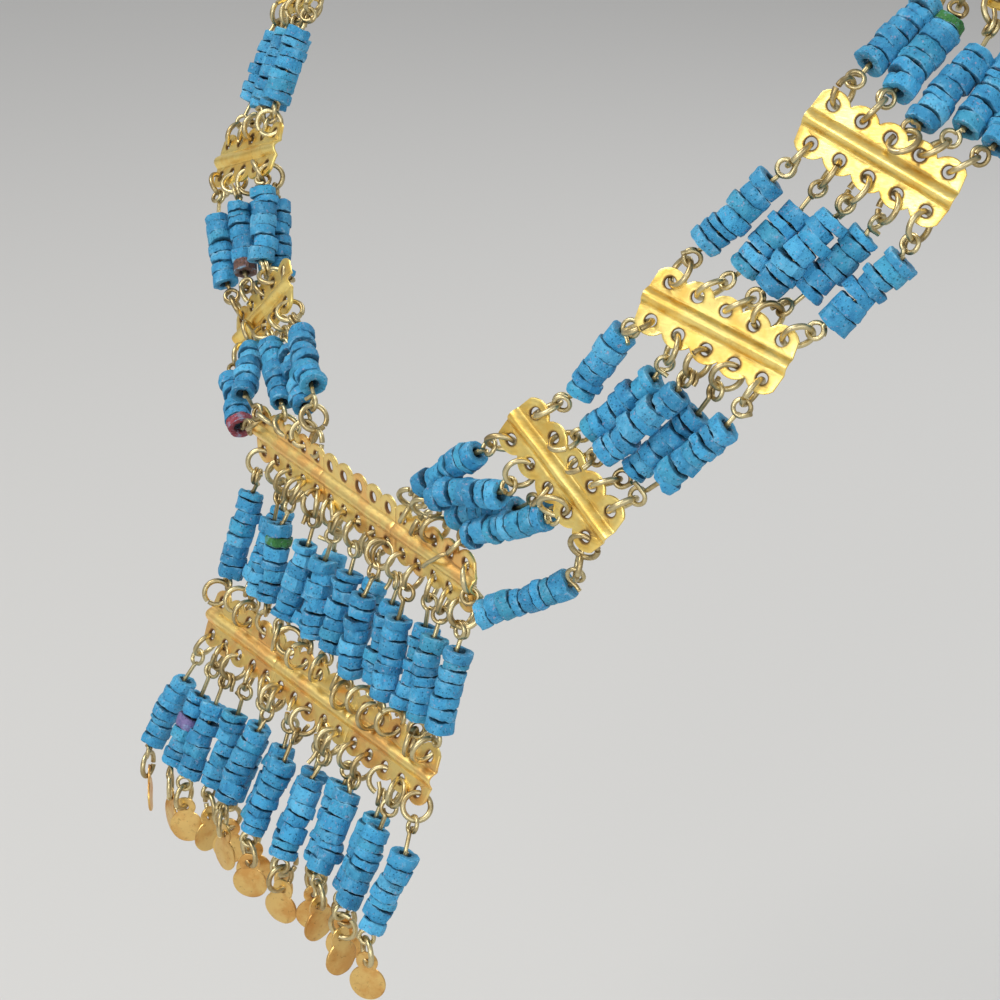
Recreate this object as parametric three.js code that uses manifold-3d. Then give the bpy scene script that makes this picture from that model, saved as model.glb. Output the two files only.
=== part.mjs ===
// Bib necklace of pressed brass spacer bars and strands of turquoise disc beads, in the form it
// has when worn. Millimetres, +Z up, the wearer faces -Y. The origin is at the nape, where the
// chain and its hook lie on the neck. Right and left are as seen from the front.

import * as THREE from 'three';
import Module from 'manifold-3d';
import { mergeVertices } from 'three/addons/utils/BufferGeometryUtils.js';

const wasm = await Module();
wasm.setup();

// Pressed bars: a sheet with a half-round rib, a scalloped edge and a hole in each scallop.
const holePitch = 5;
const holeRadius = 1.1;
const holeSides = 6;
const holeRow = 3.25;
const scallopTip = 2.3;
const scallopRadius = 3;
const scallopSteps = 2;
const sheet = 0.8;
const ribWidth = 2.4;
const ribHeight = 1;
const ribTab = 0.4;
const holesInShortBar = 5;
const shortBarsInLongBar = 3;
const gatherHole = 6;
const gatherLobe = 2.4;

// Beads on their wires.
const beadClearance = 0.3;
const beadDiameter = holePitch - beadClearance;
const beadThickness = 2.1;
const beadSides = 10;
const restingFit = beadClearance / 2 + 0.04 * holePitch;

// Brass wire: rings and bent pin ends, as one loop at each end of a strand.
const wireDiameter = 1;
const wireSides = 5;
const wireClearance = 0.3;
const loopHalfWidth = 1.2;
const loopSeat = 0.6;

// Drops under the lower tier.
const dropRingLength = 6.2;
const dropRingHalfWidth = 1.7;
const dropDisc = 3.25;
const dropLobe = 1.95;
const dropNeck = 1.5;
const dropSheet = 0.6;

// Chain and hook behind the neck.
const chainWidth = 3;
const chainSides = 8;
const chainSteps = 11;
const meetingGap = 0.3;
const hookEye = 1.9;
const hookWire = 1.2;
const hookReach = 9;
const hookBend = 1.7;
const hookTip = 4;

const brassYellow = 0xc9a445;
const brassWire = 0x8d7b45;
const turquoise = 0x3d8fc8;

// Solids' flat faces are joined where they bend less than this.
const flatness = 0.05;

// Where each bar lies when worn, along its own length and up its strap towards the nape.
const barPlaces = {
  pectoral_bar_upper: { at: [0, -122, -125], along: [1, 0, 0], up: [0, 0, 1] },
  pectoral_bar_lower: { at: [0.7, -131.4, -159.5], along: [1, 0.04, 0.02], up: [-0.03, 0.37, 0.93] },
  strap_bar_right_1: { at: [49.4, -114.1, -102.1], along: [0.8, 0.19, -0.57], up: [0.48, 0.36, 0.8] },
  strap_bar_right_2: { at: [65.8, -98.1, -75.3], along: [0.88, 0.41, -0.25], up: [0, 0.51, 0.86] },
  strap_bar_right_3: { at: [76.4, -78, -48.3], along: [0.82, 0.45, -0.36], up: [0.14, 0.45, 0.88] },
  end_plate_right: { at: [73, -52, -25.8], along: [0.85, 0.4, -0.33], up: [-0.2, 0.82, 0.54] },
  strap_bar_left_1: { at: [-52.4, -112.6, -107.9], along: [0.72, 0.07, 0.69], up: [-0.68, 0.3, 0.67] },
  strap_bar_left_2: { at: [-77.9, -102.3, -85.9], along: [0.93, 0.02, 0.37], up: [-0.33, 0.47, 0.81] },
  strap_bar_left_3: { at: [-83.6, -85.5, -55], along: [0.91, -0.16, 0.38], up: [-0.26, 0.5, 0.83] },
  end_plate_left: { at: [-80.2, -59.6, -32.6], along: [0.87, -0.38, 0.3], up: [0.2, 0.82, 0.54] },
};

// The chain's way from each end plate's single hole to the hook at the nape.
const chainRoutes = {
  right: [[68, -34, -14], [58, -19, -6], [43, -8, -1.5], [25, -2, 0]],
  left: [[-75, -40, -18.5], [-63, -22, -7.5], [-45, -8.5, -1.5], [-25, -2, 0]],
};

// Strands of the two pectoral tiers, left to right. gap: the wire between the bar above and the
// first bead, in bead thicknesses. sway, lift: how far the top and the foot of the beads lie
// beside and before the straight line down from the hole, in hole pitches.
const upperTier = [
  { beads: 8, gap: 4, top: [-0.1, 0], foot: [0, 0] },
  { beads: 7, gap: 4.5, top: [0, -0.8], foot: [0, -0.3] },
  { beads: 7, gap: 4.8, top: [-0.2, 0], foot: [0, 0] },
  { beads: 7, gap: 4.3, top: [-0.24, 0.3], foot: [0, 0.15] },
  { beads: 7, gap: 4.8, top: [0.3, 0], foot: [0, 0] },
  { beads: 7, gap: 4.6, top: [0, -0.7], foot: [0, -0.3] },
  { beads: 7, gap: 4.7, top: [-0.3, 0.12], foot: [0, 0.05] },
  { beads: 7, gap: 4.7, top: [0, -0.15], foot: [0, -0.1] },
  { beads: 7, gap: 4.4, top: [0, -0.7], foot: [0, -0.3] },
  { beads: 7, gap: 4.8, top: [0, 0.5], foot: [0, 0.3] },
  { beads: 7, gap: 4.5, top: [-0.16, -0.12], foot: [0, -0.08] },
  { beads: 7, gap: 4.8, top: [-0.1, 0.24], foot: [0, 0.16] },
  { beads: 7, gap: 4.6, top: [-0.3, -0.36], foot: [0, -0.16] },
  { beads: 7, gap: 4.5, top: [-0.24, 0], foot: [0.04, 0.04] },
  { beads: 7, gap: 4.1, top: [0.2, 0.06], foot: [0.24, 0.04] },
];
// turn: the drop's turn about the plumb line, in degrees.
const lowerTier = [
  { beads: 7, gap: 5, top: [-0.5, 0], foot: [-0.8, 0], turn: -30 },
  { beads: 7, gap: 5.1, top: [-0.1, 0], foot: [0, 0], turn: -8 },
  { beads: 7, gap: 4.9, top: [0, 0.06], foot: [0.16, 0.06], turn: 50 },
  { beads: 7, gap: 4.6, top: [0, -0.3], foot: [0, -0.5], turn: 100 },
  { beads: 7, gap: 4.5, top: [0, -0.7], foot: [0, -0.8], turn: 45 },
  { beads: 7, gap: 4.1, top: [0.2, 0.24], foot: [0.2, 0.3], turn: 5 },
  { beads: 7, gap: 4.5, top: [0, -0.5], foot: [0, -0.6], turn: 60 },
  { beads: 7, gap: 4.9, top: [0.06, 0.1], foot: [0, 0.1], turn: 45 },
  { beads: 7, gap: 4.5, top: [0, -0.6], foot: [0, -0.7], turn: 110 },
  { beads: 7, gap: 4.6, top: [-0.1, 0.16], foot: [0.3, 0.16], turn: 30 },
  { beads: 7, gap: 3.6, top: [0, -0.36], foot: [0.3, -0.44], turn: 60 },
  { beads: 7, gap: 3.5, top: [0, 0.12], foot: [0.4, 0.12], turn: 100 },
  { beads: 7, gap: 4, top: [0.3, -0.3], foot: [0.3, -0.44], turn: 50 },
  { beads: 7, gap: 4.3, top: [0.2, 0.1], foot: [0.2, 0.16], turn: 100 },
  { beads: 7, gap: 4.6, top: [0.8, 0], foot: [0.7, 0], turn: 40 },
];
const lowerTierLean = 28;

// Strands of the straps, section by section from the pectoral up. Each row is one strand, from
// the bar's first hole to its last. body: the strands that rest on each other and are one body.
// from: the share of the section's length where the beads start. low, high: where the beads'
// ends lie beside and before the section's middle line, in hole pitches.
const strapSections = {
  right_1: [
    { body: 'a', beads: 7, from: 0.1, low: [-1.8, 0.1], high: [-2.02, 0] },
    { body: 'a', beads: 7, from: 0.25, low: [-1.42, 0.6], high: [-0.5, 0.48] },
    { body: 'b', beads: 7, from: 0.16, low: [-0.5, -0.4], high: [0.22, -0.48] },
    { body: 'b', beads: 8, from: 0.35, low: [0.3, 0.36], high: [0.82, 0.1] },
    { body: 'c', beads: 8, from: 0.23, low: [2.84, 0.7], high: [3.08, -0.6] },
  ],
  right_2: [
    { body: 'a', beads: 6, from: 0.26, low: [-1.56, 0], high: [-2.08, 0] },
    { body: 'b', beads: 7, from: 0.16, low: [-0.4, -0.16], high: [-0.36, -0.16] },
    { body: 'b', beads: 8, from: 0.19, low: [0.48, 0.32], high: [0.48, 0.32] },
    { body: 'b', beads: 7, from: 0.23, low: [1.48, -0.2], high: [1.32, -0.28] },
    { body: 'b', beads: 7, from: 0.36, low: [2.28, 0.24], high: [2.24, 0.24] },
  ],
  right_3: [
    { body: 'a', beads: 7, from: 0.13, low: [-1.92, 0], high: [-1.92, 0] },
    { body: 'b', beads: 6, from: 0.2, low: [-0.58, -0.12], high: [-0.7, -0.12] },
    { body: 'b', beads: 7, from: 0.24, low: [0.44, 0.22], high: [0.22, 0.22] },
    { body: 'b', beads: 6, from: 0.36, low: [1.24, -0.28], high: [1.18, -0.28] },
    { body: 'c', beads: 7, from: 0.35, low: [2.44, 0], high: [2.46, 0] },
  ],
  right_4: [
    { body: 'a', beads: 7, from: 0.28, low: [-1.9, 0.1], high: [-1.6, -0.1] },
    { body: 'a', beads: 7, from: 0.23, low: [-0.78, 0.1], high: [-0.72, 0.1] },
    { body: 'b', beads: 7, from: 0.14, low: [0.44, 0.1], high: [0.6, 0.1] },
    { body: 'b', beads: 7, from: 0.25, low: [1.6, 0], high: [1.52, -0.12] },
    { body: 'b', beads: 7, from: 0.25, low: [2.62, -0.1], high: [2.48, -0.1] },
  ],
  left_1: [
    { body: 'a', beads: 6, from: 0.43, low: [-2.3, 0.6], high: [-2.3, 0.6] },
    { body: 'b', beads: 6, from: 0.47, low: [-0.9, 1], high: [-0.75, 0.4] },
    { body: 'c', beads: 7, from: 0.26, low: [0.2, 0.2], high: [0.35, 0.1] },
    { body: 'c', beads: 7, from: 0.08, low: [1.15, -0.2], high: [1.05, -0.3] },
    { body: 'c', beads: 7, from: 0.1, low: [2.05, -0.1], high: [1.95, -0.2] },
  ],
  left_2: [
    { body: 'a', beads: 7, from: 0.3, low: [-2.06, 0.3], high: [-1.7, 0.5] },
    { body: 'a', beads: 7, from: 0.3, low: [-1.14, 0], high: [-0.7, 0] },
    { body: 'a', beads: 7, from: 0.3, low: [-0.64, -0.8], high: [-0.3, -0.75] },
    { body: 'a', beads: 7, from: 0.2, low: [0.5, 0.1], high: [1.5, 0.1] },
    { body: 'a', beads: 7, from: 0.16, low: [0.1, -0.8], high: [1, -0.7] },
  ],
  left_3: [
    { body: 'a', beads: 7, from: 0.25, low: [-1.92, 0.1], high: [-1.92, 0.1] },
    { body: 'a', beads: 7, from: 0.22, low: [-0.96, -0.1], high: [-0.96, -0.1] },
    { body: 'a', beads: 7, from: 0.26, low: [0, 0.1], high: [0, 0.1] },
    { body: 'a', beads: 7, from: 0.23, low: [0.96, -0.1], high: [0.96, -0.1] },
    { body: 'a', beads: 7, from: 0.26, low: [1.92, 0.1], high: [1.92, 0.1] },
  ],
  left_4: [
    { body: 'a', beads: 7, from: 0.24, low: [-1.92, -0.1], high: [-1.92, -0.1] },
    { body: 'a', beads: 7, from: 0.26, low: [-0.96, 0.1], high: [-0.96, 0.1] },
    { body: 'a', beads: 7, from: 0.23, low: [0, -0.1], high: [0, -0.1] },
    { body: 'a', beads: 7, from: 0.27, low: [0.96, 0.1], high: [0.96, 0.1] },
    { body: 'a', beads: 7, from: 0.24, low: [1.92, -0.1], high: [1.92, -0.1] },
  ],
};
const strapBodyNames = { a: 'inner', b: 'middle', c: 'outer' };

const brass = new THREE.MeshStandardMaterial({ color: brassYellow, roughness: 0.35, metalness: 1 });
const wire = new THREE.MeshStandardMaterial({ color: brassWire, roughness: 0.4, metalness: 1 });
const faience = new THREE.MeshStandardMaterial({ color: turquoise, roughness: 0.75, metalness: 0 });

const necklace = new THREE.Group();

function toSolid(geometry) {
  const bare = geometry.clone();
  bare.deleteAttribute('normal');
  bare.deleteAttribute('uv');
  const merged = mergeVertices(bare, 1e-4);
  return new wasm.Manifold(new wasm.Mesh({
    numProp: 3,
    vertProperties: new Float32Array(merged.attributes.position.array),
    triVerts: new Uint32Array(merged.index.array),
  }));
}

function toGeometry(solid) {
  const mesh = solid.asOriginal().simplify(flatness).getMesh();
  const geometry = new THREE.BufferGeometry();
  geometry.setAttribute('position', new THREE.BufferAttribute(mesh.vertProperties, 3));
  geometry.setIndex(new THREE.BufferAttribute(mesh.triVerts, 1));
  geometry.computeVertexNormals();
  return geometry;
}

function fuse(geometries) {
  return geometries.map(toSolid).reduce((joined, solid) => joined.add(solid));
}

// A wire bent at its corners: the sections stand at the corners, half-way round each bend.
class BentPath extends THREE.Curve {
  constructor(corners) {
    super();
    this.corners = corners;
  }

  getPointAt(share, target = new THREE.Vector3()) {
    const last = this.corners.length - 1;
    return target.copy(this.corners[Math.round(share * last)]);
  }

  getTangentAt(share, target = new THREE.Vector3()) {
    const last = this.corners.length - 1;
    const here = Math.round(share * last);
    const before = this.corners[Math.max(here - 1, 0)];
    const after = this.corners[Math.min(here + 1, last)];
    return target.copy(after).sub(before).normalize();
  }
}

function circlePoints(radius, sides, centreX = 0, centreY = 0) {
  return Array.from({ length: sides }, (_, index) => {
    const angle = (2 * Math.PI * index) / sides;
    return new THREE.Vector2(centreX + radius * Math.cos(angle), centreY + radius * Math.sin(angle));
  });
}

function roundSection(radius, sides) {
  return new THREE.Shape(circlePoints(radius, sides));
}

function bentWire(corners, diameter, sides) {
  return new THREE.ExtrudeGeometry(roundSection(diameter / 2, sides), {
    steps: corners.length - 1,
    extrudePath: new BentPath(corners),
    bevelEnabled: false,
  });
}

function addNode(name, geometry, material, parent = necklace) {
  const mesh = new THREE.Mesh(geometry, material);
  mesh.name = name;
  parent.add(mesh);
  return mesh;
}

// Bars. A bar's own X runs along it, its Y up the strap and its Z out of its face.
function scallop(outline, holeX, side) {
  const centreY = holeRow + scallopTip - scallopRadius;
  const half = Math.asin(holePitch / 2 / scallopRadius);
  for (let step = 0; step <= scallopSteps; step += 1) {
    const turn = (half - (2 * half * step) / scallopSteps) * side;
    outline.push([holeX + scallopRadius * Math.sin(turn), side * (centreY + scallopRadius * Math.cos(turn))]);
  }
}

function holeAt(x, y) {
  return new THREE.Path(circlePoints(holeRadius, holeSides, x, y));
}

function holeXs(count) {
  return Array.from({ length: count }, (_, index) => (index - (count - 1) / 2) * holePitch);
}

function outlineShape(points) {
  const kept = points.filter(([x, y], index) => {
    const [nextX, nextY] = points[(index + 1) % points.length];
    return Math.hypot(nextX - x, nextY - y) > 1e-6;
  });
  return new THREE.Shape(kept.map(([x, y]) => new THREE.Vector2(x, y)));
}

function ribGeometry(length) {
  const profile = new THREE.Shape();
  profile.moveTo(-ribWidth / 2, 0);
  profile.lineTo(-ribWidth / 4, ribHeight + sheet / 2);
  profile.lineTo(ribWidth / 4, ribHeight + sheet / 2);
  profile.lineTo(ribWidth / 2, 0);
  const rib = new THREE.ExtrudeGeometry(profile, { depth: length, bevelEnabled: false });
  rib.rotateX(Math.PI / 2);
  rib.rotateZ(Math.PI / 2);
  rib.translate(-length / 2, 0, 0);
  return rib;
}

function plateGeometry(shape) {
  const plate = new THREE.ExtrudeGeometry(shape, { depth: sheet, bevelEnabled: false });
  plate.translate(0, 0, -sheet / 2);
  return plate;
}

function barGeometry(holeCount) {
  const outline = [];
  const xs = holeXs(holeCount);
  [...xs].reverse().forEach((x) => scallop(outline, x, 1));
  xs.forEach((x) => scallop(outline, x, -1));
  const shape = outlineShape(outline);
  xs.forEach((x) => shape.holes.push(holeAt(x, holeRow), holeAt(x, -holeRow)));
  return toGeometry(fuse([plateGeometry(shape), ribGeometry(holeCount * holePitch + 2 * ribTab)]));
}

function endPlateGeometry(holeCount) {
  const outline = [];
  const xs = holeXs(holeCount);
  for (const turn of [-30, 30, 90, 150, 210]) {
    const angle = THREE.MathUtils.degToRad(turn);
    outline.push([gatherLobe * Math.cos(angle), gatherHole + gatherLobe * Math.sin(angle)]);
  }
  outline.push([-holeCount * holePitch / 2, ribWidth / 2]);
  xs.forEach((x) => scallop(outline, x, -1));
  outline.push([holeCount * holePitch / 2, ribWidth / 2]);
  const shape = outlineShape(outline);
  shape.holes.push(holeAt(0, gatherHole), ...xs.map((x) => holeAt(x, -holeRow)));
  return toGeometry(fuse([plateGeometry(shape), ribGeometry(holeCount * holePitch + 2 * ribTab)]));
}

const bars = {};

function placeBar(name, geometry, holeCount) {
  const { at, along, up } = barPlaces[name];
  const alongAxis = new THREE.Vector3(...along).normalize();
  const upAxis = new THREE.Vector3(...up).projectOnPlane(alongAxis).normalize();
  const outAxis = new THREE.Vector3().crossVectors(alongAxis, upAxis);
  const mesh = addNode(name, geometry, brass);
  mesh.position.set(...at);
  mesh.quaternion.setFromRotationMatrix(new THREE.Matrix4().makeBasis(alongAxis, upAxis, outAxis));
  mesh.updateMatrixWorld();
  bars[name] = { mesh, holeCount, alongAxis, upAxis, outAxis };
}

// A hole of a bar: index counts from 0 at the bar's left end, row is 1 up the strap, -1 down it.
function barHole(name, index, row) {
  const bar = bars[name];
  const x = (index - (bar.holeCount - 1) / 2) * holePitch;
  const point = bar.mesh.localToWorld(new THREE.Vector3(x, row * holeRow, 0));
  return { bar, x, y: row * holeRow, point };
}

const longCount = holesInShortBar * shortBarsInLongBar;
placeBar('pectoral_bar_upper', barGeometry(longCount), longCount);
placeBar('pectoral_bar_lower', barGeometry(longCount), longCount);
for (const side of ['right', 'left']) {
  for (const number of [1, 2, 3]) {
    placeBar(`strap_bar_${side}_${number}`, barGeometry(holesInShortBar), holesInShortBar);
  }
  placeBar(`end_plate_${side}`, endPlateGeometry(holesInShortBar), holesInShortBar);
}

// How far a wire that leaves a hole in a given direction runs over the sheet.
function wayOffSheet(hole, direction) {
  const halfLength = (hole.bar.holeCount * holePitch) / 2;
  const halfWidth = holeRow + scallopTip;
  const acrossX = (Math.sign(direction.x) * halfLength - hole.x) / (direction.x || 1e-6);
  const acrossY = (Math.sign(direction.y) * halfWidth - hole.y) / (direction.y || 1e-6);
  return Math.min(acrossX, acrossY) + wireClearance;
}

// The loop of wire from the end of a strand's beads through a bar's hole: one side runs before
// the sheet and one behind it, each far enough out to clear the sheet's edge.
function loopThroughHole(hole, beadEnd, inward, diameter) {
  const { alongAxis, upAxis, outAxis } = hole.bar;
  const reach = new THREE.Vector3().subVectors(beadEnd, hole.point);
  const flat = new THREE.Vector2(reach.dot(alongAxis), reach.dot(upAxis));
  const rise = reach.dot(outAxis);
  const edge = wayOffSheet(hole, flat.clone().normalize());
  const share = Math.min(edge / flat.length(), 0.8);
  const crossesRib = Math.sign(hole.y + flat.y * share) !== Math.sign(hole.y);
  const clear = sheet / 2 + diameter / 2 + wireClearance;
  const clearFront = clear + (crossesRib ? ribHeight : 0);
  const half = loopHalfWidth;
  const front = Math.max(clearFront, (clearFront - share * (rise + half)) / (1 - share));
  const back = Math.max(clear, (clear + share * (rise - half)) / (1 - share));
  const outward = outAxis.clone().projectOnPlane(inward).normalize();
  const seat = beadEnd.clone().addScaledVector(inward, loopSeat);
  return bentWire([
    seat.clone().addScaledVector(outward, half),
    hole.point.clone().addScaledVector(outAxis, front),
    hole.point.clone().addScaledVector(outAxis, -back),
    seat.clone().addScaledVector(outward, -half),
  ], diameter, wireSides);
}

function beadTube(start, end, diameter) {
  return bentWire([start, end], diameter, beadSides);
}

// One strand from a hole to another: its beads as one tube, and a loop at each end.
function strandPieces(startHole, endHole, beadStart, beadEnd, diameter) {
  const inward = new THREE.Vector3().subVectors(beadEnd, beadStart).normalize();
  return [
    beadTube(beadStart, beadEnd, diameter),
    loopThroughHole(startHole, beadStart, inward, wireDiameter),
    loopThroughHole(endHole, beadEnd, inward.clone().negate(), wireDiameter),
  ];
}

function twoDigits(number) {
  return String(number).padStart(2, '0');
}

function offLine(base, along, distance, beside, sway, before, lift) {
  return base.clone()
    .addScaledVector(along, distance)
    .addScaledVector(beside, sway * holePitch)
    .addScaledVector(before, lift * holePitch);
}

// Upper tier: from the upper bar's lower holes to the lower bar's upper holes.
upperTier.forEach((row, index) => {
  const above = barHole('pectoral_bar_upper', index, -1);
  const below = barHole('pectoral_bar_lower', index, 1);
  const down = new THREE.Vector3().subVectors(below.point, above.point).normalize();
  const beside = new THREE.Vector3(1, 0, 0).projectOnPlane(down).normalize();
  const before = new THREE.Vector3().crossVectors(down, beside).normalize();
  const topGap = row.gap * beadThickness;
  const footGap = topGap + row.beads * beadThickness;
  const top = offLine(above.point, down, topGap, beside, row.top[0], before, row.top[1]);
  const foot = offLine(above.point, down, footGap, beside, row.foot[0], before, row.foot[1]);
  const pieces = strandPieces(above, below, top, foot, beadDiameter);
  addNode(`strand_upper_${twoDigits(index + 1)}`, toGeometry(fuse(pieces)), faience);
});

// A drop: a round disc under a small lobe, stamped from sheet, hung from the lobe.
function dropGeometry() {
  const outline = new THREE.Shape();
  const discNeck = Math.acos(dropNeck / dropDisc);
  const lobeNeck = Math.acos(dropNeck / dropLobe);
  const dropSpacing = dropDisc * Math.sin(discNeck) + dropLobe * Math.sin(lobeNeck);
  const points = [];
  for (let step = 0; step <= 8; step += 1) {
    const angle = Math.PI - discNeck + ((Math.PI + 2 * discNeck) * step) / 8;
    points.push([dropDisc * Math.cos(angle), dropDisc * Math.sin(angle) - dropSpacing]);
  }
  for (let step = 1; step <= 3; step += 1) {
    const angle = -lobeNeck + ((Math.PI + 2 * lobeNeck) * step) / 4;
    points.push([dropLobe * Math.cos(angle), dropLobe * Math.sin(angle)]);
  }
  outline.setFromPoints(points.map(([x, y]) => new THREE.Vector2(x, y)));
  const drop = new THREE.ExtrudeGeometry(outline, { depth: dropSheet, bevelEnabled: false });
  drop.translate(0, 0, -dropSheet / 2);
  return drop;
}

// Lower tier: from the lower bar's lower holes, leaning forward, each with a ring and a drop.
const lean = THREE.MathUtils.degToRad(lowerTierLean);
const tierDown = new THREE.Vector3(0, -Math.sin(lean), -Math.cos(lean));
const tierBeside = new THREE.Vector3(1, 0, 0);
const tierBefore = new THREE.Vector3().crossVectors(tierDown, tierBeside);

lowerTier.forEach((row, index) => {
  const above = barHole('pectoral_bar_lower', index, -1);
  const topGap = row.gap * beadThickness;
  const footGap = topGap + row.beads * beadThickness;
  const top = offLine(above.point, tierDown, topGap, tierBeside, row.top[0], tierBefore, row.top[1]);
  const foot = offLine(above.point, tierDown, footGap, tierBeside, row.foot[0], tierBefore, row.foot[1]);
  const inward = new THREE.Vector3().subVectors(foot, top).normalize();
  const seat = foot.clone().addScaledVector(inward, -loopSeat);
  const turn = new THREE.Quaternion().setFromAxisAngle(
    new THREE.Vector3(0, 0, 1),
    THREE.MathUtils.degToRad(row.turn),
  );
  const across = new THREE.Vector3(0, 1, 0).applyQuaternion(turn);
  const hang = foot.clone().add(new THREE.Vector3(0, 0, -dropRingLength));
  const ring = bentWire([
    seat.clone().addScaledVector(across, loopHalfWidth),
    hang.clone().addScaledVector(across, dropRingHalfWidth),
    hang.clone().addScaledVector(across, -dropRingHalfWidth),
    seat.clone().addScaledVector(across, -loopHalfWidth),
  ], wireDiameter, wireSides);
  const drop = dropGeometry();
  drop.rotateX(Math.PI / 2);
  drop.applyQuaternion(turn);
  drop.translate(hang.x, hang.y, hang.z);
  const pieces = [
    beadTube(top, foot, beadDiameter),
    loopThroughHole(above, top, inward, wireDiameter),
    ring,
    drop,
  ];
  addNode(`strand_lower_${twoDigits(index + 1)}`, toGeometry(fuse(pieces)), faience);
});

// Straps: each section runs from a bar up to the next one nearer the nape.
function strapSection(side, number) {
  const last = number === 4;
  const below = number === 1 ? 'pectoral_bar_upper' : `strap_bar_${side}_${number - 1}`;
  const above = last ? `end_plate_${side}` : `strap_bar_${side}_${number}`;
  const firstBelow = number === 1 && side === 'right' ? longCount - holesInShortBar : 0;
  const rows = strapSections[`${side}_${number}`];
  const middle = (holesInShortBar - 1) / 2;
  const foot = barHole(below, firstBelow + middle, 1).point;
  const head = barHole(above, middle, -1).point;
  const length = foot.distanceTo(head);
  const along = new THREE.Vector3().subVectors(head, foot).normalize();
  const beside = bars[above].alongAxis.clone().projectOnPlane(along).normalize();
  const before = new THREE.Vector3().crossVectors(beside, along);
  const bodies = {};
  rows.forEach((row, index) => {
    const stack = row.beads * beadThickness;
    const drift = Math.hypot(row.high[0] - row.low[0], row.high[1] - row.low[1]) * holePitch;
    const rise = Math.sqrt(stack ** 2 - drift ** 2);
    const start = row.from * length;
    const beadStart = offLine(foot, along, start, beside, row.low[0], before, row.low[1]);
    const beadEnd = offLine(foot, along, start + rise, beside, row.high[0], before, row.high[1]);
    const alone = rows.filter((other) => other.body === row.body).length === 1;
    const diameter = beadDiameter + (alone ? 0 : 2 * restingFit);
    const startHole = barHole(below, firstBelow + index, 1);
    const endHole = barHole(above, index, -1);
    bodies[row.body] = bodies[row.body] ?? [];
    bodies[row.body].push(...strandPieces(startHole, endHole, beadStart, beadEnd, diameter));
  });
  const keys = Object.keys(bodies);
  keys.forEach((key) => {
    const suffix = keys.length > 1 ? `_${strapBodyNames[key]}` : '';
    addNode(`strap_strands_${side}_${number}${suffix}`, toGeometry(fuse(bodies[key])), faience);
  });
}

for (const side of ['right', 'left']) {
  for (const number of [1, 2, 3, 4]) {
    strapSection(side, number);
  }
}

// Hook clasp at the nape: an eye for the left chain and an open hook for the right one.
function hookGeometry() {
  const corners = [];
  const eyeCentre = -hookReach / 2;
  for (let step = 0; step <= 7; step += 1) {
    const angle = Math.PI / 4 + (Math.PI * 2 * step * 0.97) / 8;
    corners.push(new THREE.Vector3(eyeCentre + hookEye * Math.cos(angle), 0, hookEye * Math.sin(angle)));
  }
  corners.push(new THREE.Vector3(eyeCentre + hookEye + hookWire, 0, 0));
  const bendCentre = new THREE.Vector3(hookReach / 2, 0, hookBend);
  for (const turn of [-90, -30, 30, 90]) {
    const angle = THREE.MathUtils.degToRad(turn);
    corners.push(new THREE.Vector3(
      bendCentre.x + hookBend * Math.cos(angle),
      0,
      bendCentre.z + hookBend * Math.sin(angle),
    ));
  }
  corners.push(new THREE.Vector3(bendCentre.x - hookTip, 0, 2 * hookBend));
  return bentWire(corners, hookWire, wireSides);
}
addNode('hook_clasp', toGeometry(toSolid(hookGeometry())), brass);

// Chain behind the neck: a tube of the links' width along the chain's way.
function chainGeometry(side, sign) {
  const plate = bars[`end_plate_${side}`];
  const plateEdge = gatherHole + gatherLobe + meetingGap;
  const start = plate.mesh.localToWorld(new THREE.Vector3(0, plateEdge, 0));
  const hookEnd = hookReach / 2 + (sign > 0 ? hookBend : hookEye) + hookWire / 2 + meetingGap;
  const end = new THREE.Vector3(sign * hookEnd, 0, 0);
  const way = [start, ...chainRoutes[side].map((point) => new THREE.Vector3(...point)), end];
  return new THREE.ExtrudeGeometry(roundSection(chainWidth / 2, chainSides), {
    steps: chainSteps,
    extrudePath: new THREE.CatmullRomCurve3(way),
    bevelEnabled: false,
  });
}
addNode('back_chain_right', chainGeometry('right', 1), wire);
addNode('back_chain_left', chainGeometry('left', -1), wire);

export default necklace;
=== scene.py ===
import math
import random

import bmesh
import bpy
from mathutils import Matrix, Quaternion, Vector, noise


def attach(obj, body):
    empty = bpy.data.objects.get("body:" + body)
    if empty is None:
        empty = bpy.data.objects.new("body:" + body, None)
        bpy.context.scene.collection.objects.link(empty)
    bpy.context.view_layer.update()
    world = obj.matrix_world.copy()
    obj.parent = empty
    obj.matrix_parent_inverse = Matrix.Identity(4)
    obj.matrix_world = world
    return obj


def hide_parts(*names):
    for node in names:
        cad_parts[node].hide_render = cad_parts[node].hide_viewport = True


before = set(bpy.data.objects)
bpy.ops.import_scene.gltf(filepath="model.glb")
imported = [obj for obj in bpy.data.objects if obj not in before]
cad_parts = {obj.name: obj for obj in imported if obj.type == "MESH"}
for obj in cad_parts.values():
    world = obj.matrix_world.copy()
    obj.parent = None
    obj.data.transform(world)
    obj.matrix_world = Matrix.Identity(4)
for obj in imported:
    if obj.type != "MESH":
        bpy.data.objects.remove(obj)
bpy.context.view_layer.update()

# Camera
# The necklace is seen from the wearer's left and a little above, close by, with the pectoral
# low on the left of the picture and the right strap rising to its corner.
view_azimuth = math.radians(56.45)
view_elevation = math.radians(24.58)
view_roll = math.radians(1.7)
standpoint = Vector((0.3467, -0.3226, 0.0593))


def bring_in(name, data):
    """Puts a thing in the scene."""
    thing = bpy.data.objects.new(name, data)
    bpy.context.scene.collection.objects.link(thing)
    return thing


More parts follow.
